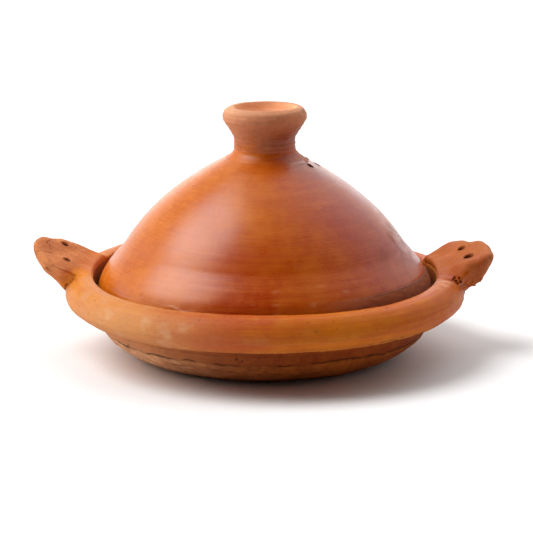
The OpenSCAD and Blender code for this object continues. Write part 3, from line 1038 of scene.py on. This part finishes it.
# What makes each lug its own: pokes are its firing holes (u, v, slant, radius), gouges its other holes, and
# the rest bend its top, outline and underside or say where it is smeared, slipped, cracked and torn.
left_extra = {
    "seed": 80,
    "outline": LEFT_OUTLINE,
    "pokes": [(144, 10, 0.35, 2.1), (139, -12.5, 0.3, 2.2)],
    "taper": lambda u, v, depth: depth * (0.62 * step(u, 124, 136)
                                          - 0.42 * step(u, 146, 155) * (1 - step(v, -8, 8))),
    "smudge": none,
    "blend": 6.0,
    "smear": 9.0,
    "slipped": none,
    # Painted light: the left lug's tone is raised, on the side where the light falls.
    "tone": 0.3,
    "edge": lambda u, v: 1.6 + 8.0 * step(u, 147, 156) + 3.0 * step(v, -6, 10),
    "top": lambda u, v: 3.4 * hump(u, 161, 9) - 0.4 * hump(u, 147, 7) * hump(v, 0, 20),
    "under": none,
    "carve": lambda d, u, v, z: scooped(d, u, v, z, (137, -29, 52), (11, 8, 6.5), 4.4),
    "gouges": [jab(150.6, 60.6, 1.3), jab(149.8, 59.2, 1.3), ((131.0, -29.5, 43), (131.5, -26, 44), 0.8)],
    "cracked": lambda u, v, z: step(u, 146, 151) * (1 - step(np.abs(v + 2), 12, 18)),
    "seam": lambda u, v, z, rim: (hump(rim, 0.6, 0.8) * (1 - step(v, -16, -8))
                                  * step(v, -28, -22) * (z < 50)),
}
right_extra = {
    "seed": 90,
    "outline": RIGHT_OUTLINE,
    "pokes": [(141, 4.2, 0.5, 2.1), (143.5, -11.5, 0.1, 3.1)],
    "taper": lambda u, v, depth: (0.32 * depth * step(u, 136, 148)
                                  + (0.9 * np.maximum(depth - 8, 0) - 0.5 * np.minimum(depth, 8))
                                  * (1 - step(u, 134, 146)) * (1 - step(v, -12, 0))),
    "smudge": lambda u, v, z: ((1 - step(np.hypot(u - 127, v + 29), 2, 13)) * (1 - step(-v, 34, 39))
                               * step(z, 50, 54)),
    "blend": 7.5,
    "smear": 12.0,
    "slipped": lambda u: 0.62 - 0.55 * step(u, 148, 160),
    # Painted shade: the right lug's tone is lowered, on the side away from the light.
    "tone": -0.2,
    "edge": lambda u, v: 8.5 - 4.5 * step(v, 2, 14),
    "top": lambda u, v: (0.9 * hump(u, 155, 6) - 1.3 * hump(u, 149, 4) * step(v, 4, 16)
                         - 3.5 * step(u, 156, 166) + 0.8 * hump(u, 139, 6)),
    "under": lambda u, v: (-5.5 * hump(u, 150, 5) * (1 - step(v, 2, 14))
                           + 1.2 * noise(u / 4, v / 4, 0 * u, 71)),
    "carve": lambda d, u, v, z: (d + 0.9 * step(noise(u / 3, v / 3, z / 3, 73), 0.1, 0.6)
                                 * (1 - step(z, 50, 58))),
    "gouges": [jab(129.5, 53.2, 0.8), jab(131.0, 54.8, 0.6), jab(131.6, 52.4, 0.8), jab(134.4, 54.4, 0.6),
               jab(135.0, 52.2, 0.7), jab(132.8, 50.8, 0.6), jab(132.0, 58.0, 0.5), jab(138.4, 52.4, 0.5),
               jab(141.2, 53.2, 0.6), jab(143.8, 52.4, 0.7)],
    "cracked": lambda u, v, z: (1 - step(z, 54, 60)) * (1 - step(u, 146, 152)) * 0.8,
    "seam": lambda u, v, z, rim: (hump(rim, 1.0, 1.2) * (1 - step(v, -12, -6)) * step(v, -28, -24)
                                  * step(noise(u / 3, v / 3, z / 3, 72), 0.0, 0.4) * (z < 54)),
}

# ---- Build ----


def build_turned(name, node, body, line, segments, shape, material):
    points, faces, marks = lathe(line, segments, shape)
    piece = mesh_piece(name, points, faces, body, [node], marks)
    piece.data.materials.append(material)
    return piece


for name, node, body, slot, line, segments, shape, material in (
        ("dish_bowl_clay", "dish_bowl", "dish", "dish_clay", bowl_line(), 820, bowl_shape, wiped_dish),
        ("rim_roll_clay", "rim_roll", "dish", "burnished_clay", rim_line(), 960, rim_shape, burnished_rim),
        ("lid_cone_clay", "lid_cone", "lid", "burnished_clay", lid_line(), 620, lid_shape, burnished_lid),
        ("neck_luting_clay", "neck_luting", "lid", "raw_clay", luting_line(), 360, luting_shape, raw_clay),
        ("lid_knob_clay", "lid_knob", "lid", "raw_clay", knob_line(), 330, knob_shape, raw_clay)):
    piece = build_turned(name, node, body, line, segments, shape, material)
    if node == "lid_cone":
        pierce(piece)
build_lug("left_handle_clay", "left_handle", True, left_extra)
build_lug("right_handle_clay", "right_handle", False, right_extra)

# ---- Floor, light and camera ----

FLOOR_HALF = 12.0
CAMERA_AT = (0.0, -1.908, 0.511)
CAMERA_AIM = Vector((0.0012, 0.0, 0.0605))
LENS, SENSOR = 187.9, 36.0


def lay_floor():
    corners = [(a * FLOOR_HALF, b * FLOOR_HALF, 0) for a, b in ((-1, -1), (1, -1), (1, 1), (-1, 1))]
    mesh = bpy.data.meshes.new("floor")
    mesh.from_pydata(corners, [], [(0, 1, 2, 3)])
    floor = bpy.data.objects.new("floor", mesh)
    bpy.context.scene.collection.objects.link(floor)
    paper = Surface("floor_paper")
    paper.put(paper.shader.inputs["Base Color"], colour(0.87, 0.87, 0.87))
    paper.put(paper.shader.inputs["Roughness"], 0.9)
    mesh.materials.append(paper.material)


def direction(azimuth, elevation):
    """Unit vector; azimuth 0 is towards the camera, positive to the right."""
    a, e = math.radians(azimuth), math.radians(elevation)
    return Vector((math.sin(a) * math.cos(e), -math.cos(a) * math.cos(e), math.sin(e)))


# Lights that fade away all round: where each stands (azimuth, elevation), its tightness, its brightness.
SOFT_LIGHTS = {
    "softbox_low": ((-80, 26), 18.0, 0.6),
    "wall_left": ((-110, 8), 12.0, 1.8),
    "sweep_behind": ((180, 8), 9.0, 2.6),
    "sweep_right": ((138, 38), 9.0, 1.2),
    "ceiling_behind": ((165, 64), 9.0, 0.9),
    "wall_right": ((98, 10), 9.0, 0.7),
    "ceiling_right": ((112, 62), 9.0, 0.6),
}
# The softbox: where it stands, its half width and its soft edge in degrees, its brightness.
SOFTBOX = ((-92, 53), 19.0, 10.0, 7.5)


def toward(g, where):
    """How closely each direction of the room points to a light, from -1 to 1."""
    room = g.node("TexCoord").outputs["Generated"]
    return g.node("VectorMath", {0: room, 1: direction(*where)}, operation="DOT_PRODUCT").outputs["Value"]


def light_lobe(g, where, tightness, brightness):
    """One soft light in the world: brightest in its own direction, and fading away round it."""
    fade = g.maths("MULTIPLY_ADD", toward(g, where), tightness, math.log(brightness) - tightness)
    return g.maths("EXPONENT", fade)


def light_face(g, where, half_width, edge, brightness):
    """A light with an even face and a soft edge."""
    outer, inner = (math.cos(math.radians(half_width + e)) for e in (edge, -edge))
    return g.ramp(toward(g, where), outer, inner, 0.0, brightness)


def light_room():
    world = bpy.data.worlds.new("studio")
    world.use_nodes = True
    bpy.context.scene.world = world
    g = Graph(world.node_tree)
    total = light_face(g, *SOFTBOX)
    for light in SOFT_LIGHTS.values():
        total = g.maths("ADD", total, light_lobe(g, *light))
    background = g.tree.nodes["Background"]
    g.put(background.inputs["Strength"], total)
    g.put(background.inputs["Color"], colour(1.0, 1.0, 1.0))


def set_camera():
    lens = bpy.data.cameras.new("camera")
    lens.sensor_width = SENSOR
    lens.lens = LENS
    lens.clip_end = 60
    camera = bpy.data.objects.new("camera", lens)
    camera.location = CAMERA_AT
    camera.rotation_euler = (CAMERA_AIM - camera.location).to_track_quat("-Z", "Y").to_euler()
    bpy.context.scene.collection.objects.link(camera)
    bpy.context.scene.camera = camera


lay_floor()
light_room()
set_camera()
bpy.context.scene.view_settings.view_transform = "Standard"
bpy.context.view_layer.update()
